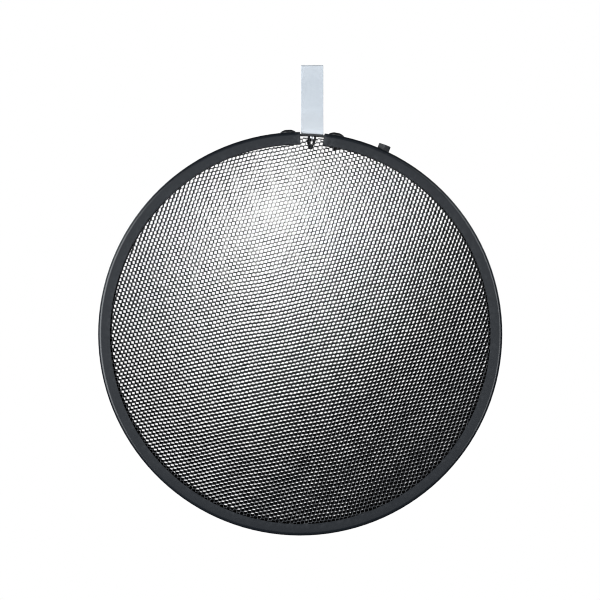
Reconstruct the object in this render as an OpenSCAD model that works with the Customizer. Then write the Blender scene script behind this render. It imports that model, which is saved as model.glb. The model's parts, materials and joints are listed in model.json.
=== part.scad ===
// Round honeycomb light grid in a rolled channel rim, with a riveted pull tab.
// The disc stands upright: its axis runs along Y, the front faces -Y and +Z is up.
// The origin is the centre of the disc, half way through its depth.

/* [Rim] */
// Outside diameter of the rolled channel
rim_od = 337; // [300:1:400]
// Radial width of the front and back flanges
flange_w = 10; // [8:0.5:14]
// Wall thickness of the channel
rim_wall = 1.5; // [1:0.1:1.6]
// Outside corner radius of the channel
rim_corner = 3; // [1.8:0.1:3.4]
// Opening between the two rim ends, at the outside
gap_w = 20.8; // [20.6:0.2:28]
// Opening between the two rim ends, at the inner edge of the flanges
gap_w_inner = 18.4; // [18:0.2:26]
// Angle of the rim joint, clockwise from the top, seen from the front
joint_angle = 3.4; // [0:0.05:6]

/* [Honeycomb core] */
// Thickness of the honeycomb block
core_depth = 19.05; // [12.7:0.05:25.4]
// Radial room between the splice plate and the core
core_room = 1.5; // [0.8:0.1:2]
// Width of one real cell across its flats
cell_pitch = 3.44; // [3:0.02:4.5]
// Thickness of one foil
foil_t = 0.05; // [0.03:0.005:0.08]
// Level of detail: each modelled cell stands for this many cells across
cell_lod = 5; // [4:1:8]
// Rise of the cell rows, from the horizontal
row_angle = 11; // [0:1:59]

/* [Splice] */
// Thickness of the splice plate
plate_t = 1.5; // [1:0.1:1.6]
// Width of the splice plate along the disc axis
plate_w = 16; // [15.2:0.1:16.1]
// Half the angle that the splice plate covers
plate_half = 10.4; // [9.5:0.1:13]
// Angle from the joint to each splice rivet
rivet_off = 6.9; // [6.2:0.1:7.4]

/* [Blind rivets] */
// Diameter of a rivet's flange head
head_d = 12.6; // [11:0.1:12.8]
// Height of a rivet's flange head
head_h = 2.3; // [1.8:0.1:2.5]
// Diameter of a rivet's shank
shank_d = 4; // [3.2:0.1:4.4]
// Diameter of the set, blind end
bulb_d = 6.8; // [5.6:0.1:7]
// Diameter of the mandrel
mandrel_d = 1.9; // [1.6:0.1:2]

/* [Pull tab] */
// Width of the webbing strip
tab_w = 18.4; // [16:0.1:18.6]
// Height of the tab above the splice plate
tab_h = 57.8; // [45:0.1:70]
// Thickness of one layer of webbing
web_t = 1; // [0.8:0.1:1.1]
// Half the thickness of the folded strip
tab_half = 1.6; // [1.4:0.05:1.7]
// Length of the lower link, between the two bending lines
lower_len = 13; // [12.8:0.1:16]

/* [Locating screw] */
// Angle of the screw, clockwise from the top, seen from the front
screw_angle = 24.2; // [18:0.1:40]
// Lean of the screw back towards the joint
screw_lean = 3.8; // [0:0.1:5]
// Width of the nut across its flats
nut_af = 10; // [8:0.5:10]
// Height of the nut above the rim
nut_h = 4.6; // [3.5:0.1:5]
// Diameter of the screw
screw_d = 6; // [5:1:6]

/* [Hidden] */
$fn = 96;
fit = 0.05; // room left between pieces that are assembled to each other
touch = 0.01; // room left between faces that bear on each other
over = 1; // how far a cut runs past the faces it opens

// Rim, plate and core, from the outside in
rim_r = rim_od / 2;
half_d = core_depth / 2 + fit + rim_wall; // half the depth of the rim
flange_in = rim_r - flange_w;
web_in = rim_r - rim_wall; // inner surface of the channel's web
plate_out = web_in - fit;
plate_in = plate_out - plate_t;
core_r = plate_in - core_room;
lod_pitch = cell_pitch * cell_lod;
lod_wall = foil_t * cell_lod * 4 / 3; // the same share of solid as single and doubled foils
pocket_room = 2; // added to the diameter of what a core pocket clears
rivet_pocket = 4.6; // depths of the core pockets
screw_pocket = 2.6;

// Rivets
splice_angles = [joint_angle - rivet_off, joint_angle + rivet_off];
rivet_angles = concat(splice_angles, joint_angle);
head_flat_r = 2.6; // flat on top of the domed head
head_edge_h = 0.6; // height of the head's straight edge
blind_h = 2.8; // length of the set, blind end
mandrel_head_h = 1.4;
mandrel_head_d = 4.3;
stem_recess = 0.6; // from the top of the head down to the broken stem
bulb_top = sqrt(pow(plate_in, 2) - pow(bulb_d / 2, 2)) - touch; // seats in the plate's hollow

// Tab
foot_in = plate_out + 2 * touch;
foot_t = 2 * web_t;
foot_out = foot_in + foot_t;
foot_arc_half = 5; // half the angle of the foot before it is trimmed to the strip's width
foot_half = head_d / 2 + 1.25; // half the footprint of the loop, along the disc axis
link_gap = 0.35; // from the end of one part of the strip to the next
tab_left = (plate_out + 1) * sin(joint_angle) - tab_w / 2;
tab_top = plate_out * cos(joint_angle) + tab_h;
neck_z = foot_out + head_h + 6.2; // where the two sides of the loop come together
fold_z = neck_z + tab_half + link_gap;
bend_z = fold_z + lower_len;

// Radii where the undersides of the rivet heads rest
splice_seat = rim_r + touch;
tab_seat = foot_out + touch;

// Screw and nut, measured outwards from the rim surface
screw_head_d = 11.6;
screw_head_h = 2.4;
screw_head_top = -rim_wall - 0.6; // the leaning head stays clear of the round web
screw_recess = 0.6; // from the top of the nut down to the end of the screw

black = [0.16, 0.16, 0.17];
webbing = [0.84, 0.87, 0.9];

// The disc is drawn flat, with its front up, then stood upright
module stand() { rotate([90, 0, 0]) children(); }

// Puts a child on the rim at an angle from the top: its +Z points outwards, its z = 0 is at radius r
module on_rim(angle, r, lean = 0) {
  rotate([0, 0, -angle]) translate([0, r, 0]) rotate([0, 0, lean]) rotate([-90, 0, 0]) children();
}

module on_screw() { on_rim(screw_angle, rim_r, screw_lean) children(); }

// Cutters that start a given depth below the rim surface
module rivet_hole(angle, below, length) {
  on_rim(angle, rim_r - below) cylinder(d = shank_d + 2 * fit, h = length);
}

module screw_hole(below, length) {
  on_screw() translate([0, 0, -below]) cylinder(d = screw_d + 2 * fit, h = length);
}

// Cutter for a face that follows the rim's curve
module round_cutter(r) {
  translate([0, 0, -20]) cylinder(r = r, h = 40, $fn = 256);
}

// A curved plate, centred on the joint
module joint_arc(half_angle, r_in, thickness, width) {
  rotate([0, 0, 90 - joint_angle - half_angle]) rotate_extrude(angle = 2 * half_angle)
    translate([r_in, -width / 2]) square([thickness, width]);
}

// A rectangular section from r_in to r_out, with its outer corners rounded
module section(r_out, r_in, half, corner) {
  translate([r_in, -half]) square([r_out - corner - r_in, 2 * half]);
  translate([r_in, corner - half]) square([r_out - r_in, 2 * (half - corner)]);
  for (s = [-1, 1]) translate([r_out - corner, s * (half - corner)]) circle(corner);
}

// The opening between the rim ends, carried past the rim inside and outside
module joint_gap() {
  inner = gap_w_inner / 2;
  outer = gap_w / 2;
  end_r = rim_r + 4;
  flare = 0.4;
  inward = 3;
  rotate([0, 0, -joint_angle]) {
    translate([0, 0, -half_d - over]) linear_extrude(2 * (half_d + over))
      polygon([[-inner, flange_in], [inner, flange_in], [outer, rim_r],
        [outer + flare, end_r], [-outer - flare, end_r], [-outer, rim_r]]);
    translate([-inner, flange_in - inward, -half_d - over])
      cube([gap_w_inner, inward + 0.01, 2 * (half_d + over)]);
  }
}

module rim_channel() {
  color([0.22, 0.23, 0.25]) stand() difference() {
    rotate_extrude() difference() {
      section(rim_r, flange_in, half_d, rim_corner);
      section(web_in, flange_in - 2, half_d - rim_wall, rim_corner - rim_wall);
    }
    joint_gap();
    for (angle = splice_angles) rivet_hole(angle, below = 5, length = 10);
    screw_hole(below = 5, length = 10);
  }
}

module core_pocket(angle, d, depth) {
  on_rim(angle, core_r - depth) cylinder(d = d + pocket_room, h = depth + 2);
}

// Hexagonal cutters on a triangular grid, leaving the cell walls between them
module cells() {
  reach = ceil(core_r / lod_pitch) + 2;
  rotate([0, 0, row_angle]) for (i = [-reach : reach], j = [-reach : reach]) {
    x = (i + j / 2) * lod_pitch;
    y = j * lod_pitch * sqrt(3) / 2;
    if (norm([x, y]) < core_r + 0.3 * lod_pitch)
      translate([x, y, -(core_depth + over) / 2]) rotate([0, 0, 30])
        cylinder(r = (lod_pitch - lod_wall) / sqrt(3), h = core_depth + over, $fn = 6);
  }
}

module honeycomb_core() {
  color(black) stand() difference() {
    translate([0, 0, -core_depth / 2]) cylinder(r = core_r, h = core_depth);
    intersection() {
      translate([0, 0, -core_depth / 2 - over])
        cylinder(r = core_r - lod_wall, h = core_depth + 2 * over);
      cells();
    }
    for (angle = rivet_angles) core_pocket(angle, bulb_d, rivet_pocket);
    core_pocket(screw_angle, screw_head_d, screw_pocket);
  }
}

module splice_plate() {
  color(black) stand() difference() {
    joint_arc(plate_half, plate_in, plate_t, plate_w);
    for (angle = rivet_angles) rivet_hole(angle, below = 8, length = 12);
  }
}

// A set blind rivet, head up, with its underside at z = 0
module rivet_sleeve(seat) {
  grip = seat - bulb_top;
  blind_end = -grip - blind_h;
  // The dome passes through the rim of the flat and the top of the straight edge
  dome_z = (pow(head_d / 2, 2) - pow(head_flat_r, 2) + pow(head_edge_h, 2) - pow(head_h, 2))
    / (2 * (head_edge_h - head_h));
  lap = 0.2; // the shank runs into the head and the bulb
  difference() {
    union() {
      intersection() {
        cylinder(d = head_d, h = head_h);
        translate([0, 0, dome_z]) sphere(r = norm([head_flat_r, head_h - dome_z]));
      }
      translate([0, 0, -grip - lap]) cylinder(d = shank_d, h = grip + 2 * lap);
      translate([0, 0, blind_end]) intersection() {
        cylinder(d = bulb_d, h = blind_h);
        translate([0, 0, blind_h / 2]) sphere(r = bulb_d / 2 + 0.15);
      }
    }
    translate([0, 0, blind_end - over])
      cylinder(d = mandrel_d + 2 * fit, h = head_h - blind_end + 2 * over);
  }
}

// The mandrel left in a set rivet: a broken stem, and the head that swelled the sleeve
module rivet_stem(seat) {
  blind_end = bulb_top - seat - blind_h;
  bulge = 0.2;
  translate([0, 0, blind_end]) cylinder(d = mandrel_d, h = head_h - stem_recess - blind_end);
  translate([0, 0, blind_end - touch - mandrel_head_h]) intersection() {
    cylinder(d = mandrel_head_d, h = mandrel_head_h);
    translate([0, 0, mandrel_head_h - bulge]) sphere(r = mandrel_head_d / 2 + bulge);
  }
  // Joins the stem to the head
  translate([0, 0, blind_end - 0.3]) cylinder(d = mandrel_d, h = 0.4);
}

module splice_rivets() {
  color([0.2, 0.2, 0.22]) stand() for (angle = splice_angles)
    on_rim(angle, splice_seat) rivet_sleeve(splice_seat);
}

module splice_rivet_mandrels() {
  color([0.7, 0.7, 0.72]) stand() for (angle = splice_angles)
    on_rim(angle, splice_seat) rivet_stem(splice_seat);
}

module tab_rivet() {
  color([0.8, 0.8, 0.82]) stand() on_rim(joint_angle, tab_seat) rivet_sleeve(tab_seat);
}

module tab_rivet_mandrel() {
  color([0.75, 0.75, 0.77]) stand() on_rim(joint_angle, tab_seat) rivet_stem(tab_seat);
}

// Half of the loop's side view: the wall rises beside the rivet head, then leans in to the neck
module foot_side() {
  inner = foot_half - web_t;
  knee = foot_out + 1.2;
  bottom = rim_r - 12;
  polygon([[foot_half, bottom], [foot_half, knee + 0.6], [tab_half, neck_z],
    [tab_half - web_t, neck_z], [inner, knee], [inner, bottom]]);
}

module tab_foot() {
  color(webbing) difference() {
    union() {
      // The curved base, trimmed to the width of the strip
      intersection() {
        stand() joint_arc(foot_arc_half, foot_in, foot_t, 2 * foot_half);
        translate([tab_left, -20, rim_r - 20]) cube([tab_w, 40, 60]);
      }
      translate([tab_left, 0, 0]) rotate([90, 0, 90]) linear_extrude(tab_w) {
        foot_side();
        mirror([1, 0]) foot_side();
      }
      // The bar that closes the neck
      translate([tab_left, -tab_half, neck_z - web_t]) cube([tab_w, 2 * tab_half, web_t]);
    }
    stand() round_cutter(foot_in);
    stand() rivet_hole(joint_angle, below = 8, length = 12);
  }
}

module round_edge(z) {
  translate([tab_left, 0, z]) rotate([0, 90, 0]) cylinder(r = tab_half, h = tab_w);
}

// A flat link of the strip with a round lower edge on its bending line
module link(bottom, top) {
  translate([tab_left, -tab_half, bottom]) cube([tab_w, 2 * tab_half, top - bottom]);
  round_edge(bottom);
}

module tab_lower() {
  color(webbing) link(fold_z, bend_z - tab_half - link_gap);
}

module tab_upper() {
  color(webbing) {
    link(bend_z, tab_top - tab_half);
    round_edge(tab_top - tab_half);
  }
}

module locating_screw() {
  lap = 0.1; // the shank runs into the head
  color([0.25, 0.25, 0.27]) stand() on_screw() {
    translate([0, 0, screw_head_top - screw_head_h]) cylinder(d = screw_head_d, h = screw_head_h);
    translate([0, 0, screw_head_top - lap])
      cylinder(d = screw_d, h = nut_h - screw_recess - screw_head_top + lap);
  }
}

module locating_nut() {
  flat_r = nut_af / 2;
  sink = 2; // the hexagon starts below the rim surface, then is cut to its curve
  cone_h = 12; // the cone that bevels the top corners
  cone_slope = 1.7;
  color([0.24, 0.25, 0.27]) stand() difference() {
    on_screw() intersection() {
      translate([0, 0, -sink]) rotate([0, 0, 30])
        cylinder(r = flat_r / cos(30), h = nut_h + sink, $fn = 6);
      translate([0, 0, nut_h - cone_h])
        cylinder(r1 = flat_r + cone_h * cone_slope, r2 = flat_r - 0.15, h = cone_h);
    }
    round_cutter(rim_r + 2 * touch);
    screw_hole(below = 3, length = 12);
  }
}

rim_channel();
honeycomb_core();
splice_plate();
splice_rivets();
splice_rivet_mandrels();
tab_foot();
tab_lower();
tab_upper();
tab_rivet();
tab_rivet_mandrel();
locating_screw();
locating_nut();
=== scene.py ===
"""A round black honeycomb grid in a channel rim, with a pale webbing pull tab riveted on top.

The grid stands upright on the origin: its axis runs along Y, the front faces -Y, X points to
the right as seen from the front, and Z up. Everything is in metres.
"""
import json
import math

import bmesh
import bpy
import numpy as np
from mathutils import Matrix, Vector


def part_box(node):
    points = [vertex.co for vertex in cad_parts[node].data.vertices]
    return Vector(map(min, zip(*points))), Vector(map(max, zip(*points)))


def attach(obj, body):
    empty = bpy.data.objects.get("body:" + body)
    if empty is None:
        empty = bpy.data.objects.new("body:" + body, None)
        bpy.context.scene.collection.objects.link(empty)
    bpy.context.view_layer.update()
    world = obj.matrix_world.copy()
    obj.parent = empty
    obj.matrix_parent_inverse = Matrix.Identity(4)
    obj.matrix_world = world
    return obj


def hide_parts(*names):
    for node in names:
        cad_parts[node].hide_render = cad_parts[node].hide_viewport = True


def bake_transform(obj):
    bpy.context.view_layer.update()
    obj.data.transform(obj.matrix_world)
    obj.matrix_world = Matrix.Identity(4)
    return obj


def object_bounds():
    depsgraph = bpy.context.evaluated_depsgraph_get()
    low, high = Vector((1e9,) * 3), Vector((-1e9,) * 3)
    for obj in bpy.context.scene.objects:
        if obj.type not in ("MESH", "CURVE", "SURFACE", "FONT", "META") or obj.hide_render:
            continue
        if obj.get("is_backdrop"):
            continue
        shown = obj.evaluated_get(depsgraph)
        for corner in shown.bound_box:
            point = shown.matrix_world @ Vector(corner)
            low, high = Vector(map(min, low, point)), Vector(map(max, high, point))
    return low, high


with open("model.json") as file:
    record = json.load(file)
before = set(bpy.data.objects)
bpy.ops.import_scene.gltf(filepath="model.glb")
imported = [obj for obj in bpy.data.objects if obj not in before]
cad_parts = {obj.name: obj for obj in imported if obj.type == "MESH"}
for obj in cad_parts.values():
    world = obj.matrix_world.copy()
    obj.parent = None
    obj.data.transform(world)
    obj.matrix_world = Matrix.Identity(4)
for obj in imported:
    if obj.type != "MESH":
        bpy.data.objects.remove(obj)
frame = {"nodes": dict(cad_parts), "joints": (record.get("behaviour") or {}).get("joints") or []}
cad_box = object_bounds()
NODES = frame["nodes"]
JOINTS = {joint["name"]: joint for joint in frame["joints"]}
MM = 0.001

# ------------------------------------------------------------------ sizes

core_low, core_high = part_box("honeycomb_core")
CORE_RADIUS = (core_high.x - core_low.x) / 2
CORE_Y = core_high.y  # half the core's depth
RIM_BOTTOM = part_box("rim_channel")[0].z
PLATE_RADIUS = 166.97 * MM

# honeycomb lattice, in the x-z plane: the two row directions as step and angle
CELL_PITCH = 3.443 * MM
ROW_A = (3.444 * MM, math.radians(11.4))
ROW_B = (3.464 * MM, math.radians(70.8))
BOND = -0.16  # the bonded walls are shorter than in a regular hexagon, so cells look squarer
FOIL = 0.26 * MM
SINGLE_WALL = 0.54 * FOIL  # half thicknesses
BONDED_WALL = 0.86 * FOIL

# places on the rim, in degrees from the top towards +X
RIVET_STEP = 6.9
TAB_RIVET_DEG = 3.4
RIGHT_RIVET_DEG = TAB_RIVET_DEG + RIVET_STEP
LEFT_RIVET_DEG = TAB_RIVET_DEG - RIVET_STEP
NUT_DEG = 24.2

# pull tab
fold = Vector(JOINTS["tab_fold"]["pos_m"])
bend = Vector(JOINTS["tab_bend"]["pos_m"])
tab_low, tab_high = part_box("tab_upper")
TAB_X = fold.x
TAB_TOP = tab_high.z
TAB_HALF_WIDTH = (tab_high.x - tab_low.x) / 2
WEB = 1.0 * MM  # thickness of the webbing
SIDE_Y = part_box("tab_foot")[1].y - WEB / 2
NECK_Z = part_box("tab_lower")[0].z
PLATE_Z = math.sqrt(PLATE_RADIUS**2 - TAB_X**2)  # top of the round plate at the tab's middle
SPLIT_Z = (fold.z + bend.z) / 2  # where the strip is cut into base and loop
KNEE_Z = PLATE_Z + 3.4 * MM  # the sides start to lean in
MEET_Z = NECK_Z + 8.0 * MM  # the two layers meet
EYE_Z = TAB_TOP - WEB / 2 - 1.05 * MM  # the top fold starts
STRIP_STEP = 0.45 * MM

CAMERA_X, CAMERA_DISTANCE, CAMERA_Z = -0.0145, 1.75, 0.0997
AIM = (-0.00025, 0, 0.0285)
VIEW_WIDTH = 502.14 * MM  # width of the view at the aim point


# ------------------------------------------------------------------ shader nodes

class Nodes:
    """An emptied node tree, with short ways to add linked nodes."""

    def __init__(self, owner):
        owner.use_nodes = True
        self.tree = owner.node_tree
        self.tree.nodes.clear()

    def add(self, kind, inputs=None, **settings):
        """Inputs are keyed by socket name or index; each value is a number, a tuple or a socket."""
        node = self.tree.nodes.new(kind)
        for name, value in settings.items():
            setattr(node, name, value)
        for key, value in (inputs or {}).items():
            socket = node.inputs[key]
            if isinstance(value, bpy.types.NodeSocket):
                self.tree.links.new(value, socket)
            elif socket.type == "RGBA":
                socket.default_value = (*value, 1.0)
            else:
                socket.default_value = value
        return node

    def coords(self, scale=(1, 1, 1)):
        place = self.add("ShaderNodeTexCoord").outputs["Object"]
        mapping = self.add("ShaderNodeMapping", {"Scale": scale, "Vector": place})
        return mapping.outputs["Vector"]

    def attribute(self, name, output):
        return self.add("ShaderNodeAttribute", attribute_name=name).outputs[output]

    def noise(self, vector, scale, detail=3.0, roughness=0.5):
        inputs = {"Scale": scale, "Detail": detail, "Roughness": roughness, "Vector": vector}
        return self.add("ShaderNodeTexNoise", inputs).outputs["Fac"]

    def ramp(self, factor, stops):
        """Stops are (position, colour)."""
        node = self.add("ShaderNodeValToRGB", {"Fac": factor})
        elements = node.color_ramp.elements
        while len(elements) < len(stops):
            elements.new(0.5)
        for element, (position, colour) in zip(elements, stops):
            element.position = position
            element.color = (*colour, 1.0)
        return node.outputs["Color"]

    def remap(self, value, source=(0.0, 1.0), target=(0.0, 1.0)):
        inputs = {"From Min": source[0], "From Max": source[1],
                  "To Min": target[0], "To Max": target[1], "Value": value}
        return self.add("ShaderNodeMapRange", inputs).outputs["Result"]

    def math(self, operation, *values):
        inputs = dict(enumerate(values))
        return self.add("ShaderNodeMath", inputs, operation=operation).outputs[0]

    def plus(self, a, b):
        return self.math("ADD", a, b)

    def times(self, a, b):
        return self.math("MULTIPLY", a, b)

    def weigh(self, a, a_share, b, b_share):
        return self.plus(self.times(a, a_share), self.times(b, b_share))

    def mix(self, factor, a, b):
        inputs = {0: factor, 6: a, 7: b}
        return self.add("ShaderNodeMix", inputs, data_type="RGBA").outputs[2]

    def bump(self, height, strength, distance):
        inputs = {"Strength": strength, "Distance": distance, "Height": height}
        return self.add("ShaderNodeBump", inputs).outputs["Normal"]

    def principled(self, inputs):
        surface = self.add("ShaderNodeBsdfPrincipled", inputs).outputs["BSDF"]
        self.add("ShaderNodeOutputMaterial", {"Surface": surface})


# ------------------------------------------------------------------ materials

def powder_coat(name, dark, light, roughness, peel_scale=900.0, specular=0.5):
    """Satin black powder coat: orange peel, a little dust in the tone, rubbed edges."""
    material = bpy.data.materials.new(name)
    n = Nodes(material)
    place = n.coords()
    cloud = n.noise(place, scale=38.0, detail=5.0, roughness=0.6)
    speck = n.noise(place, scale=1700.0, detail=2.0, roughness=0.6)
    coat = n.ramp(n.weigh(cloud, 0.75, speck, 0.25), [(0.3, dark), (0.72, light)])
    pointiness = n.add("ShaderNodeNewGeometry").outputs["Pointiness"]
    edge = n.remap(pointiness, source=(0.53, 0.62))
    patches = n.noise(place, scale=260.0, detail=4.0, roughness=0.7)
    worn = n.times(edge, n.remap(patches, source=(0.45, 0.75)))
    worn = n.times(worn, 0.35)
    gloss = n.noise(place, scale=120.0, detail=4.0, roughness=0.6)
    peel = n.noise(place, scale=peel_scale, detail=2.0)
    fine_peel = n.noise(place, scale=peel_scale * 3.1, detail=1.0)
    height = n.plus(peel, n.times(fine_peel, 0.35))
    n.principled({
        "Base Color": n.mix(worn, coat, (0.16, 0.165, 0.175)),
        "Roughness": n.remap(gloss, source=(0.3, 0.7), target=roughness),
        "Specular IOR Level": specular,
        "Normal": n.bump(height, strength=0.35, distance=0.00006),
    })
    return material


def foil_material(name):
    """Black-coated foil: tone changes from wall to wall, bare metal glints on the cut edges."""
    material = bpy.data.materials.new(name)
    n = Nodes(material)
    place = n.coords()
    tone = n.attribute("foil_tone", "Fac")
    edge = n.attribute("foil_edge", "Fac")
    streak = n.noise(n.coords((1.0, 0.12, 1.0)), scale=900.0, roughness=0.6)
    wall = n.ramp(n.weigh(tone, 0.7, streak, 0.3),
                  [(0.15, (0.010, 0.010, 0.011)), (0.85, (0.028, 0.029, 0.031))])
    cut = n.ramp(n.noise(place, scale=500.0, roughness=0.6),
                 [(0.35, (0.028, 0.029, 0.032)), (0.7, (0.08, 0.082, 0.087))])
    n.principled({
        "Base Color": n.mix(edge, wall, cut),
        "Roughness": n.remap(tone, target=(0.42, 0.6)),
        "Specular IOR Level": 0.35,
        "Normal": n.bump(streak, strength=0.25, distance=0.00005),
    })
    return material


def metal(name, low, high, roughness):
    """Bare metal, its tone wandering between two colours."""
    material = bpy.data.materials.new(name)
    n = Nodes(material)
    grain = n.noise(n.coords(), scale=900.0, detail=4.0, roughness=0.6)
    cloud = n.noise(n.coords(), scale=140.0, roughness=0.6)
    n.principled({
        "Base Color": n.ramp(n.weigh(grain, 0.5, cloud, 0.5), [(0.3, low), (0.7, high)]),
        "Metallic": 1.0,
        "Roughness": n.remap(grain, source=(0.3, 0.7), target=roughness),
        "Normal": n.bump(grain, strength=0.25, distance=0.00003),
    })
    return material


def webbing_material(name):
    """Tight pale grey webbing with a soft sheen.

    strip_uv holds the way across and along the strip in millimetres, and the height from 0 to 1.
    """
    pitch = 0.42  # of the weave, in millimetres
    # height on the tab and how much of the paler tone is mixed in there: painted light, paler low
    # down where the leaning sides would otherwise shade darker, and a little paler again at the top
    painted_lift_by_height = ((0.0, 0.75), (0.15, 0.88), (0.28, 0.55), (0.42, 0.06), (0.7, 0.04), (1.0, 0.25))
    material = bpy.data.materials.new(name)
    n = Nodes(material)
    strip = n.add("ShaderNodeSeparateXYZ", {"Vector": n.attribute("strip_uv", "Vector")})
    across, along, height = (strip.outputs[axis] for axis in "XYZ")

    # every other row of the weave is shifted by half a pitch
    row = n.math("FLOOR", n.math("DIVIDE", along, pitch))
    odd = n.math("MODULO", n.math("ABSOLUTE", row), 2.0)
    shifted = n.plus(across, n.times(odd, pitch / 2))
    across_wave = n.math("SINE", n.times(shifted, 2 * math.pi / pitch))
    along_wave = n.math("SINE", n.times(along, math.pi / pitch))
    weave = n.times(n.math("ABSOLUTE", along_wave), n.plus(n.times(across_wave, 0.35), 0.65))

    place = n.coords()
    fuzz = n.noise(place, scale=2400.0, roughness=0.6)
    cloud = n.noise(place, scale=55.0)
    tone = n.plus(n.times(weave, 0.35), n.weigh(fuzz, 0.25, cloud, 0.4))
    # two tones of the same webbing: the paler second one is painted light, not a cleaner cloth
    base_tone = n.ramp(tone, [(0.15, (0.461, 0.50, 0.54)), (0.85, (0.555, 0.584, 0.616))])
    lifted_tone = n.ramp(tone, [(0.15, (0.57, 0.608, 0.644)), (0.85, (0.69, 0.712, 0.735))])
    share = n.ramp(height, [(position, (grey,) * 3) for position, grey in painted_lift_by_height])
    # painted light: the paler tone is mixed in by height to lift the shaded lower part
    cloth_with_lift = n.mix(share, base_tone, lifted_tone)
    edge = n.remap(n.math("ABSOLUTE", across), source=(8.3, 9.2))
    relief = n.plus(weave, n.times(fuzz, 0.3))
    n.principled({
        "Base Color": n.mix(n.times(edge, 0.35), cloth_with_lift, (0.5, 0.56, 0.64)),
        "Roughness": 0.62,
        "Specular IOR Level": 0.35,
        "Sheen Weight": 0.25,
        "Sheen Roughness": 0.4,
        "Normal": n.bump(relief, strength=0.35, distance=0.00005),
    })
    return material


RIM_COAT = powder_coat("rim_powder_coat", dark=(0.0072, 0.0092, 0.0123),
                       light=(0.0097, 0.012, 0.0155), roughness=(0.275, 0.325))
PLATE_COAT = powder_coat("plate_black", dark=(0.008, 0.008, 0.009),
                         light=(0.016, 0.016, 0.018), roughness=(0.45, 0.6))
RIVET_COAT = powder_coat("rivet_black", dark=(0.008, 0.0085, 0.0095),
                         light=(0.016, 0.017, 0.019), roughness=(0.36, 0.5))
NUT_COAT = powder_coat("nut_black", dark=(0.007, 0.008, 0.010), light=(0.014, 0.016, 0.019),
                       roughness=(0.3, 0.4), peel_scale=1300.0, specular=0.3)
CORE_FOIL = foil_material("core_foil_black")
ALUMINIUM = metal("rivet_aluminium", low=(0.62, 0.63, 0.65), high=(0.86, 0.87, 0.88),
                  roughness=(0.2, 0.36))
STEEL = metal("mandrel_steel", low=(0.35, 0.35, 0.36), high=(0.58, 0.58, 0.6),
              roughness=(0.25, 0.45))
WEBBING = webbing_material("tab_webbing_grey")


# ------------------------------------------------------------------ CAD pieces

def paint(name, material):
    materials = NODES[name].data.materials
    materials.clear()
    materials.append(material)


def soften(name, width):
    bevel = NODES[name].modifiers.new("edge", "BEVEL")
    bevel.width = width
    bevel.segments = 2
    bevel.limit_method = "ANGLE"
    bevel.angle_limit = math.radians(35)
    bevel.harden_normals = True
    bevel.use_clamp_overlap = True


for piece, coat in (
    ("rim_channel", RIM_COAT),
    ("splice_plate", PLATE_COAT),
    ("splice_rivets", RIVET_COAT),
    ("splice_rivet_mandrels", STEEL),
    ("tab_rivet", ALUMINIUM),
    ("tab_rivet_mandrel", ALUMINIUM),
    ("locating_screw", NUT_COAT),
    ("locating_nut", NUT_COAT),
):
    paint(piece, coat)
soften("splice_plate", width=0.12 * MM)
soften("locating_nut", width=0.18 * MM)


# ------------------------------------------------------------------ mesh helpers

def mesh_object(name, verts, faces, material, smooth=False):
    mesh = bpy.data.meshes.new(name)
    mesh.from_pydata(verts, [], faces)
    mesh.update()
    ob = bpy.data.objects.new(name, mesh)
    bpy.context.scene.collection.objects.link(ob)
    mesh.materials.append(material)
    if smooth:
        mesh.polygons.foreach_set("use_smooth", [True] * len(mesh.polygons))
    return ob


def turn_faces_outward(mesh):
    bm = bmesh.new()
    bm.from_mesh(mesh)
    bmesh.ops.recalc_face_normals(bm, faces=bm.faces)
    bm.to_mesh(mesh)
    bm.free()


def set_foil_attributes(mesh, tone, edge):
    for name, values in (("foil_tone", tone), ("foil_edge", edge)):
        attribute = mesh.attributes.new(name, "FLOAT", "FACE")
        attribute.data.foreach_set("value", values.astype(np.float32))


# ------------------------------------------------------------------ lattice distortion
# Points are (n, 2) arrays of x and z.

def on_rim(degrees, radius):
    angle = math.radians(degrees)
    return np.array([radius * math.sin(angle), radius * math.cos(angle)])


def wave_field(points, seed, size, lengths, count):
    """Smooth random displacement of the points: a few long sine waves."""
    random = np.random.default_rng(seed)
    shift = np.zeros_like(points)
    for _ in range(count):
        heading = random.uniform(0, 2 * math.pi)
        wave_number = 2 * math.pi / random.uniform(*lengths)
        push = random.uniform(0, 2 * math.pi)
        phase = random.uniform(0, 2 * math.pi)
        travel = points[:, 0] * math.cos(heading) + points[:, 1] * math.sin(heading)
        wave = np.sin(travel * wave_number + phase)
        shift[:, 0] += math.cos(push) * wave
        shift[:, 1] += math.sin(push) * wave
    return shift * size / math.sqrt(count)


def cell_lean(points):
    """The block sits a little dished in its rim: how far each cell's end strays from square."""
    x, z = points.T
    spread = 1.1355 + 0.244 * x + 1.06 * z - 5.3 * x * x - 4.1 * x * z - 1.72 * z * z
    from_camera = points - (CAMERA_X, CAMERA_Z)
    from_middle = points - (-0.01942, 0.1043)
    return (from_camera - from_middle * spread[:, None]) * CORE_Y / CAMERA_DISTANCE


def push_out(points, centre, radius):
    """Nothing stays inside the circle: the lattice is squeezed against it."""
    offset = points - centre
    distance = np.linalg.norm(offset, axis=1)
    pushed = (distance**3 + radius**3) ** (1 / 3)
    return centre + offset * (pushed / np.maximum(distance, 1e-9))[:, None]


def pinch(points, centre, axis, half_across, half_along, amount):
    """The lattice closes up towards the line through centre along axis."""
    axis = np.array(axis, float)
    axis /= np.linalg.norm(axis)
    normal = np.array([-axis[1], axis[0]])
    along, across = (points - centre) @ axis, (points - centre) @ normal
    weight = np.exp(-0.5 * (along / half_along) ** 2 - 0.5 * (across / half_across) ** 2)
    return points - normal * (across * weight * amount)[:, None]


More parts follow.
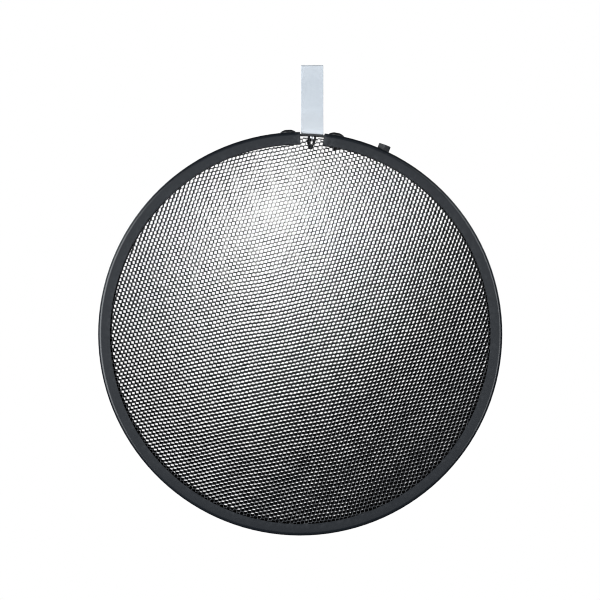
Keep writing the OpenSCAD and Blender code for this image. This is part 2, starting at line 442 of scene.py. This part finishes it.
def crush(points):
    """Dents around the three rivets and the locating nut."""
    rivet_radius = 163.7 * MM
    points = push_out(points, on_rim(TAB_RIVET_DEG, rivet_radius), radius=3.1 * MM)
    points = pinch(points, np.array([8.9, 157.8]) * MM, axis=(0.12, 1.0),
                   half_across=2.4 * MM, half_along=3.4 * MM, amount=0.72)
    points = push_out(points, on_rim(RIGHT_RIVET_DEG, rivet_radius), radius=3.6 * MM)
    points = pinch(points, on_rim(11.6, 158.6 * MM), axis=on_rim(90 + 11.4, 1.0),
                   half_across=1.9 * MM, half_along=4.6 * MM, amount=0.75)
    points = push_out(points, on_rim(LEFT_RIVET_DEG, rivet_radius), radius=3.4 * MM)
    return push_out(points, on_rim(NUT_DEG, 165.5 * MM), radius=4.2 * MM)


def torn(centres):
    """Cells driven out by the rivets, and the split that runs on below the middle one."""
    gone = np.zeros(centres.shape[:2], bool)
    for degrees, reach in ((TAB_RIVET_DEG, 3.3), (RIGHT_RIVET_DEG, 2.8), (LEFT_RIVET_DEG, 2.8)):
        hole = on_rim(degrees, 163.6 * MM)
        gone |= np.linalg.norm(centres - hole, axis=2) < reach * MM
    top, bottom = np.array([9.6, 160.5]) * MM, np.array([9.0, 155.6]) * MM
    run = bottom - top
    t = np.clip(((centres - top) @ run) / (run @ run), 0, 1)
    gone |= np.linalg.norm(centres - (top + t[..., None] * run), axis=2) < 1.5 * MM
    return gone


# ------------------------------------------------------------------ honeycomb core

# a cell's six corners: kind of lattice node (0 or 1) and its row steps from the cell
CORNERS = ((0, 0, 0), (1, -1, 0), (0, -1, 0), (1, -1, -1), (0, 0, -1), (1, 0, -1))
# across the six walls, in the same order: row steps to the neighbour, and half the thickness
NEIGHBOURS = ((0, 1), (-1, 1), (-1, 0), (0, -1), (1, -1), (1, 0))
HALF_WALLS = np.array([SINGLE_WALL, BONDED_WALL, SINGLE_WALL] * 2)


def following(corners):
    return np.roll(corners, -1, axis=1)


def inset(corners):
    """Moves each cell's corners (cells, 6, 2) inwards by half the thickness of its walls."""
    edge = following(corners) - corners
    edge = edge / np.maximum(np.linalg.norm(edge, axis=2, keepdims=True), 1e-9)
    normal = np.stack([-edge[..., 1], edge[..., 0]], axis=2)
    before = np.roll(normal, 1, axis=1)
    half, half_before = HALF_WALLS, np.roll(HALF_WALLS, 1)
    turn = before[..., 0] * normal[..., 1] - before[..., 1] * normal[..., 0]
    flat = np.abs(turn) < 0.25
    safe = np.where(flat, 0.25, turn)
    dx = (half_before * normal[..., 1] - half * before[..., 1]) / safe
    dz = (before[..., 0] * half - normal[..., 0] * half_before) / safe
    # nearly straight corners move towards the middle, and none moves past 0.45 of the way
    inward = corners.mean(axis=1, keepdims=True) - corners
    reach = np.linalg.norm(inward, axis=2, keepdims=True)
    straight = inward / np.maximum(reach, 1e-9) * FOIL
    move = np.where(flat[..., None], straight, np.stack([dx, dz], axis=2))
    length = np.linalg.norm(move, axis=2, keepdims=True)
    return corners + move * np.minimum(1.0, 0.45 * reach / np.maximum(length, 1e-9))


def lattice_ends(nodes):
    """Where the lattice nodes come out at the front and at the back of the core."""
    random = np.random.default_rng(20240311)
    jitter = random.normal(0, 0.07 * MM, nodes.shape)
    skew = random.normal(0, 0.07 * MM, nodes.shape)
    warp = wave_field(nodes, seed=5, size=0.45 * MM, lengths=(0.03, 0.11), count=9)
    lean = wave_field(nodes, seed=11, size=0.010 * MM, lengths=(0.05, 0.2), count=7)
    lean = lean + cell_lean(nodes)
    limit = CORE_RADIUS - 0.04 * MM
    ends = []
    for sign in (-1, 1):
        points = crush(nodes + warp + jitter + sign * (skew + lean))
        radius = np.linalg.norm(points, axis=1)
        ends.append(points * np.minimum(1.0, limit / np.maximum(radius, 1e-9))[:, None])
    return ends


def at_depth(points, y):
    points = points.reshape(-1, 2)
    return np.column_stack([points[:, 0], np.full(len(points), y), points[:, 1]])


def band(a, b):
    """Quads between two rings of corner indices."""
    return np.stack([a, following(a), following(b), b], axis=2).reshape(-1, 4)


def foil_part(part, cells, alone, front, back):
    """One half of the core; walls marked alone get an outer skin."""
    used, corner = np.unique(cells, return_inverse=True)
    count = len(cells)
    verts = np.concatenate([
        at_depth(front[used], -CORE_Y),
        at_depth(back[used], CORE_Y),
        at_depth(inset(front[cells]), -CORE_Y),
        at_depth(inset(back[cells]), CORE_Y),
    ])
    outer_front = corner.reshape(-1, 6)
    outer_back = outer_front + len(used)
    inner_front = 2 * len(used) + np.arange(6 * count).reshape(count, 6)
    inner_back = inner_front + 6 * count
    rings = np.concatenate([band(outer_front, inner_front), band(inner_back, outer_back)])
    walls = band(inner_front, inner_back)
    skin = np.stack([following(outer_front), outer_front, outer_back, following(outer_back)],
                    axis=2)[alone]
    faces = np.concatenate([rings, walls, skin])

    mesh = bpy.data.meshes.new(f"honeycomb_foil_{part}")
    mesh.vertices.add(len(verts))
    mesh.vertices.foreach_set("co", verts.astype(np.float32).ravel())
    mesh.loops.add(4 * len(faces))
    mesh.loops.foreach_set("vertex_index", faces.astype(np.int32).ravel())
    mesh.polygons.add(len(faces))
    starts = np.arange(0, 4 * len(faces), 4, dtype=np.int32)
    mesh.polygons.foreach_set("loop_start", starts)
    mesh.update(calc_edges=True)
    mesh.validate()
    face_count = len(mesh.polygons)
    tone, edge = np.zeros(face_count), np.zeros(face_count)
    # if validation dropped faces, the face order is no longer known and both stay at zero
    if face_count == len(faces):
        tone = np.random.default_rng(100 + part).uniform(0, 1, face_count)
        edge[:len(rings)] = 1.0
    set_foil_attributes(mesh, tone, edge)
    ob = bpy.data.objects.new(mesh.name, mesh)
    bpy.context.scene.collection.objects.link(ob)
    mesh.materials.append(CORE_FOIL)
    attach(ob, "grid")
    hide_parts("honeycomb_core")


def build_core():
    reach = int(CORE_RADIUS / (CELL_PITCH * 0.866)) + 4
    row_a, row_b = (step * np.array([math.cos(angle), math.sin(angle)])
                    for step, angle in (ROW_A, ROW_B))
    steps = np.arange(-reach, reach + 1)
    size = len(steps)
    i_grid, j_grid = np.meshgrid(steps, steps, indexing="ij")
    centres = i_grid[..., None] * row_a + j_grid[..., None] * row_b
    # two lattice nodes per cell, one at each end of a bonded wall
    nodes = np.concatenate([
        (centres + (row_a + row_b) * (1 - BOND) / 3).reshape(-1, 2),
        (centres + (row_a + row_b) * (2 + BOND) / 3).reshape(-1, 2),
    ])
    front, back = lattice_ends(nodes)

    inside = np.linalg.norm(centres, axis=2) < CORE_RADIUS - 0.12 * CELL_PITCH
    i, j = np.nonzero(inside & ~torn(centres))
    cells = np.stack([kind * size * size + (i + di) * size + j + dj
                      for kind, di, dj in CORNERS], axis=1)
    lookup = -np.ones((size, size), int)
    lookup[i, j] = np.arange(len(i))
    neighbour = np.stack([lookup[i + di, j + dj] for di, dj in NEIGHBOURS], axis=1)
    # two halves, cut through the middle, keep each mesh a moderate size
    part_of = (i - reach + (j - reach) / 2.0 > 0).astype(int)
    for part in (0, 1):
        alone = (neighbour < 0) | (part_of[np.maximum(neighbour, 0)] != part)
        chosen = part_of == part
        foil_part(part, cells[chosen], alone[chosen], front, back)


build_core()


# ------------------------------------------------------------------ crushed foil

# each patch: four corners (x, z) in mm, and the number of folds, which zigzag
# between the side from the first corner to the fourth and that from the second to the third
TAB_PLEATS = [  # beside and below the middle rivet
    (((5.41, 161.85), (8.49, 162.1), (8.99, 157.36), (6.58, 157.19)), 20),
    (((10.49, 162.02), (13.32, 162.6), (11.82, 159.02), (10.66, 156.69)), 20),
    (((6.25, 157.94), (10.83, 157.86), (10.24, 154.78), (7.08, 154.86)), 17),
    (((6.25, 165.01), (7.33, 165.01), (7.16, 161.6), (6, 161.77)), 13),
]
RIGHT_PLEATS = [  # below the right rivet
    (((25.64, 157.11), (29.3, 156.94), (30.14, 154.28), (28.14, 153.86)), 17),
    (((29.6, 156.2), (33.6, 155.9), (33.2, 154.3), (30.2, 154.1)), 8),
]
PLEAT_HALF_FOIL = 0.07 * MM


def zigzag(corners, folds, random):
    a, b, c, d = (np.array(corner, float) * MM for corner in corners)
    points = []
    for i in range(folds + 1):
        t = i / folds
        turn = a + (d - a) * t if i % 2 == 0 else b + (c - b) * t
        points.append(turn + random.normal(0, 0.11, 2) * MM)
    points = np.array(points)
    radius = np.linalg.norm(points, axis=1)
    return points * np.minimum(1.0, (CORE_RADIUS - 0.2 * MM) / radius)[:, None]


def pleats(name, patches, seed):
    """Foil pushed together like a concertina."""
    random = np.random.default_rng(seed)
    verts, faces = [], []
    for corners, folds in patches:
        points = zigzag(corners, folds, random)
        front_y = -CORE_Y + (0.15 + abs(random.normal(0, 0.5))) * MM
        back_y = CORE_Y - (0.15 + abs(random.normal(0, 1.0))) * MM
        # how far the back end lies off the front end
        shift = (np.array([-0.1, -0.5]) + random.normal(0, 0.12, 2)) * MM
        base = len(verts)
        last = len(points) - 1
        for i, point in enumerate(points):
            tangent = points[min(i + 1, last)] - points[max(i - 1, 0)]
            tangent = tangent / max(np.linalg.norm(tangent), 1e-9)
            normal = np.array([-tangent[1], tangent[0]]) * PLEAT_HALF_FOIL
            dented_y = front_y + abs(random.normal(0, 0.35)) * MM
            for side, y, end in ((1, dented_y, -1), (-1, dented_y, -1),
                                 (-1, back_y, 1), (1, back_y, 1)):
                x, z = point + normal * side + shift * end * 0.5
                verts.append((x, y, z))
        for i in range(last):
            here, ahead = base + 4 * i, base + 4 * (i + 1)
            for k in range(4):
                k2 = (k + 1) % 4
                faces.append((here + k, here + k2, ahead + k2, ahead + k))
        faces.append((base + 3, base + 2, base + 1, base))
        end = base + 4 * last
        faces.append((end, end + 1, end + 2, end + 3))
    ob = mesh_object(name, verts, faces, CORE_FOIL)
    turn_faces_outward(ob.data)
    count = len(ob.data.polygons)
    tone = np.random.default_rng(seed + 1).uniform(0, 1, count)
    set_foil_attributes(ob.data, tone, np.zeros(count))
    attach(ob, "grid")


pleats("crushed_foil_tab", TAB_PLEATS, seed=7)
pleats("crushed_foil_right", RIGHT_PLEATS, seed=8)


# ------------------------------------------------------------------ pull tab
# One strip of webbing folded into a loop. Paths are (y, z) points along its middle.

def smoothstep(t):
    t = min(max(t, 0.0), 1.0)
    return t * t * (3 - 2 * t)


def gap_at(z):
    """Half the distance between the two layers' middles: closed at the ends, slack between."""
    t = (z - NECK_Z) / (TAB_TOP - NECK_Z)
    return (0.62 + 0.30 * math.sin(math.pi * min(max(t, 0), 1)) ** 2) * MM


def ease(path):
    """Webbing turns over a few millimetres: no crease where the lean ends."""
    path = np.array(path)
    zs = np.linspace(KNEE_Z, EYE_Z, 161)
    ys = np.interp(zs, path[:, 1], path[:, 0])
    step = zs[1] - zs[0]
    reach = int(7 * MM / step)
    kernel = np.exp(-0.5 * (np.arange(-reach, reach + 1) * step / (2.4 * MM)) ** 2)
    padded = np.pad(ys, reach, mode="edge")
    eased = np.convolve(padded, kernel / kernel.sum(), mode="valid")
    share = np.clip(np.minimum((zs - KNEE_Z) / (6 * MM), (EYE_Z - zs) / (4 * MM)), 0, 1)
    return list(zip(ys + (eased - ys) * share, zs))


def side_path(side):
    """From the lap under the rivet up to the start of the top fold; side -1 is front, 1 back."""
    # the back lap lies on top of the front one
    lap_z = PLATE_Z + WEB * (0.5 if side < 0 else 1.52) + 0.02 * MM
    radius = (0.75 if side < 0 else 1.25) * MM
    foot = [(-side * 6.2 * MM, lap_z), (side * (SIDE_Y - radius), lap_z)]
    for degrees in range(-80, 1, 10):
        angle = math.radians(degrees)
        foot.append((side * (SIDE_Y - radius + radius * math.cos(angle)),
                     lap_z + radius + radius * math.sin(angle)))
    # the sides lean in gently until the two layers meet, then run on up
    rise = []
    for i in range(25):
        t = i / 24
        lean = 0.55 * t + 0.45 * smoothstep(t)
        rise.append((side * (SIDE_Y + (gap_at(MEET_Z) - SIDE_Y) * lean),
                     KNEE_Z + (MEET_Z - KNEE_Z) * t))
    for i in range(1, 30):
        z = MEET_Z + (EYE_Z - MEET_Z) * i / 29
        rise.append((side * gap_at(z), z))
    return foot + ease(rise)


def split_path(path, z):
    """The parts of a rising path below and above height z."""
    below = [point for point in path if point[1] <= z]
    above = [point for point in path if point[1] > z]
    (y1, z1), (y2, z2) = below[-1], above[0]
    cut = (y1 + (y2 - y1) * (z - z1) / (z2 - z1), z)
    return below + [cut], [cut] + above


def resample(path):
    """Evenly spaced points, and their distances along the path."""
    points = np.array(path)
    lengths = np.linalg.norm(np.diff(points, axis=0), axis=1)
    distance = np.r_[0, np.cumsum(lengths)]
    keep = np.r_[True, np.diff(distance) > 1e-9]
    points, distance = points[keep], distance[keep]
    count = max(2, int(round(distance[-1] / STRIP_STEP)))
    even = np.linspace(0, distance[-1], count + 1)
    return np.stack([np.interp(even, distance, points[:, k]) for k in (0, 1)], axis=1), even


def webbing_section():
    """Outline of the strip as (x, height): thicker selvedges, rounded edges."""
    corner = 0.34 * MM
    inner_width, inner_height = TAB_HALF_WIDTH - corner, WEB / 2 - corner
    half = []
    for x in np.linspace(-inner_width, inner_width, 30):
        from_selvedge = TAB_HALF_WIDTH - abs(x) - 0.9 * MM
        selvedge = 0.04 * MM * math.exp(-(from_selvedge / (0.5 * MM)) ** 2)
        half.append((x, WEB / 2 - 0.05 * MM + selvedge))
    for degrees in (60, 20, -20, -60):
        angle = math.radians(degrees)
        half.append((inner_width + corner * math.cos(angle),
                     math.copysign(inner_height, degrees) + corner * math.sin(angle)))
    return half + [(-x, -height) for x, height in half]


def sweep(path):
    """Sweeps the webbing's section along a path."""
    points, distance = resample(path)
    tangents = np.gradient(points, axis=0)
    tangents /= np.linalg.norm(tangents, axis=1)[:, None]
    section = webbing_section()
    verts, uvs, faces = [], [], []
    for (mid_y, mid_z), (tangent_y, tangent_z), along in zip(points, tangents, distance):
        for across, height in section:
            x = TAB_X + across
            y = mid_y - tangent_z * height
            z = mid_z + tangent_y * height
            # the lap follows the round plate, and straightens out higher up
            follow = smoothstep(1.0 - (z - PLATE_Z - 1.2 * MM) / (5.5 * MM))
            z += (math.sqrt(PLATE_RADIUS**2 - x * x) - PLATE_Z) * follow
            verts.append((x, y, z))
            uvs.append((across / MM, along / MM, (mid_z - PLATE_Z) / (TAB_TOP - PLATE_Z)))
    m = len(section)
    last = (len(points) - 1) * m
    for start in range(0, last, m):
        for j in range(m):
            j2 = (j + 1) % m
            faces.append((start + j, start + j2, start + m + j2, start + m + j))
    faces.append(tuple(range(m))[::-1])
    faces.append(tuple(range(last, last + m)))
    return verts, faces, uvs


def strip_object(name, paths):
    verts, faces, uvs = [], [], []
    for path in paths:
        base = len(verts)
        part_verts, part_faces, part_uvs = sweep(path)
        verts += part_verts
        faces += [tuple(base + i for i in face) for face in part_faces]
        uvs += part_uvs
    ob = mesh_object(name, verts, faces, WEBBING, smooth=True)
    attribute = ob.data.attributes.new("strip_uv", "FLOAT_VECTOR", "POINT")
    attribute.data.foreach_set("vector", np.array(uvs, np.float32).ravel())
    turn_faces_outward(ob.data)
    ob.data.set_sharp_from_angle(angle=math.radians(50))
    return ob


def top_fold(end_y, end_z):
    """The swollen eye over the top, from front to back."""
    fold_points = []
    for i in range(1, 18):
        angle = math.pi * i / 18
        swell = 1.0 + 0.32 * math.sin(angle) ** 2
        fold_points.append((-math.cos(angle) * end_y * swell,
                            end_z + (TAB_TOP - WEB / 2 - end_z) * math.sin(angle)))
    return fold_points


front_low, front_high = split_path(side_path(-1), SPLIT_Z)
back_low, back_high = split_path(side_path(1), SPLIT_Z)
strip_base = strip_object("tab_strip_base", [front_low, back_low])
loop_path = front_high + top_fold(*back_high[-1]) + back_high[::-1]
strip_loop = strip_object("tab_strip_loop", [loop_path])

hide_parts("tab_foot", "tab_lower")
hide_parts("tab_upper")
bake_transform(strip_base)
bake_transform(strip_loop)


# ------------------------------------------------------------------ studio

scene = bpy.context.scene


def build_world():
    """White to the camera, dim to everything else."""
    scene.world = bpy.data.worlds.new("studio")
    n = Nodes(scene.world)
    camera_ray = n.add("ShaderNodeLightPath").outputs["Is Camera Ray"]
    colour = n.mix(camera_ray, (0.035, 0.036, 0.038), (1.0, 1.0, 1.0))
    background = n.add("ShaderNodeBackground", {"Color": colour})
    n.add("ShaderNodeOutputWorld", {"Surface": background.outputs["Background"]})


def floor_material():
    """White to the camera from above, clear from below."""
    material = bpy.data.materials.new("studio_floor")
    n = Nodes(material)
    glow = n.add("ShaderNodeEmission", {"Color": (1, 1, 1), "Strength": 1.0})
    matt = n.add("ShaderNodeBsdfDiffuse", {"Color": (0.35, 0.35, 0.36)})
    clear = n.add("ShaderNodeBsdfTransparent")
    camera_ray = n.add("ShaderNodeLightPath").outputs["Is Camera Ray"]
    backfacing = n.add("ShaderNodeNewGeometry").outputs["Backfacing"]
    top = n.add("ShaderNodeMixShader", {0: camera_ray, 1: matt.outputs[0], 2: glow.outputs[0]})
    both = n.add("ShaderNodeMixShader", {0: backfacing, 1: top.outputs[0], 2: clear.outputs[0]})
    n.add("ShaderNodeOutputMaterial", {"Surface": both.outputs[0]})
    return material


def build_floor():
    corners = [(-4, -4, 0), (4, -4, 0), (4, 4, 0), (-4, 4, 0)]
    floor = mesh_object("studio_floor", corners, [(0, 1, 2, 3)], floor_material())
    floor.location = (0, 0, RIM_BOTTOM - 0.4 * MM)
    # a translucent sweep: the boxes reach below it
    floor.visible_shadow = False
    floor.visible_glossy = False
    floor.visible_diffuse = False
    floor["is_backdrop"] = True


def softbox(name, location, size, power):
    """A slightly cool area light aimed at the origin."""
    light = bpy.data.lights.new(name, "AREA")
    light.shape = "RECTANGLE"
    light.size, light.size_y = size
    light.energy = power
    light.color = (0.93, 0.965, 1.0)
    ob = bpy.data.objects.new(name, light)
    scene.collection.objects.link(ob)
    ob.location = location
    ob.rotation_euler = (Vector() - Vector(location)).to_track_quat("-Z", "Y").to_euler()
    ob.visible_camera = False


def build_camera():
    data = bpy.data.cameras.new("camera")
    camera = bpy.data.objects.new("camera", data)
    scene.collection.objects.link(camera)
    camera.location = (CAMERA_X, -CAMERA_DISTANCE, CAMERA_Z)
    sight = Vector(AIM) - camera.location
    camera.rotation_euler = sight.to_track_quat("-Z", "Y").to_euler()
    data.sensor_width = 36.0
    data.lens = 36.0 * sight.length / VIEW_WIDTH
    data.clip_start = 0.05
    data.clip_end = 50
    scene.camera = camera


scene.view_settings.view_transform = "Standard"
scene.view_settings.look = "None"
scene.view_settings.exposure = 0.0
scene.view_settings.gamma = 1.0
build_world()
build_floor()
softbox("front_soft", location=(0.0, -2.1, 0.03), size=(1.3, 1.05), power=3.6)
softbox("key_left", location=(-1.25, -1.15, 0.06), size=(1.2, 1.5), power=38.0)
softbox("fill_right", location=(1.15, -1.3, 0.2), size=(0.7, 2.0), power=21.5)
# two weaker boxes behind, so the back and the sides can be read as well
softbox("back_left", location=(-1.5, 1.3, 0.7), size=(1.0, 1.2), power=14.0)
softbox("back_right", location=(1.5, 1.3, 0.7), size=(1.0, 1.2), power=10.0)
build_camera()
# the Cycles settings exist only where that engine is enabled
if hasattr(scene, "cycles"):
    scene.cycles.filter_width = 1.1


def as_floats(value):
    if hasattr(value, "__len__"):
        return [as_floats(item) for item in value]
    return float(value)


{"cad": as_floats(cad_box), "visual": as_floats(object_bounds())}
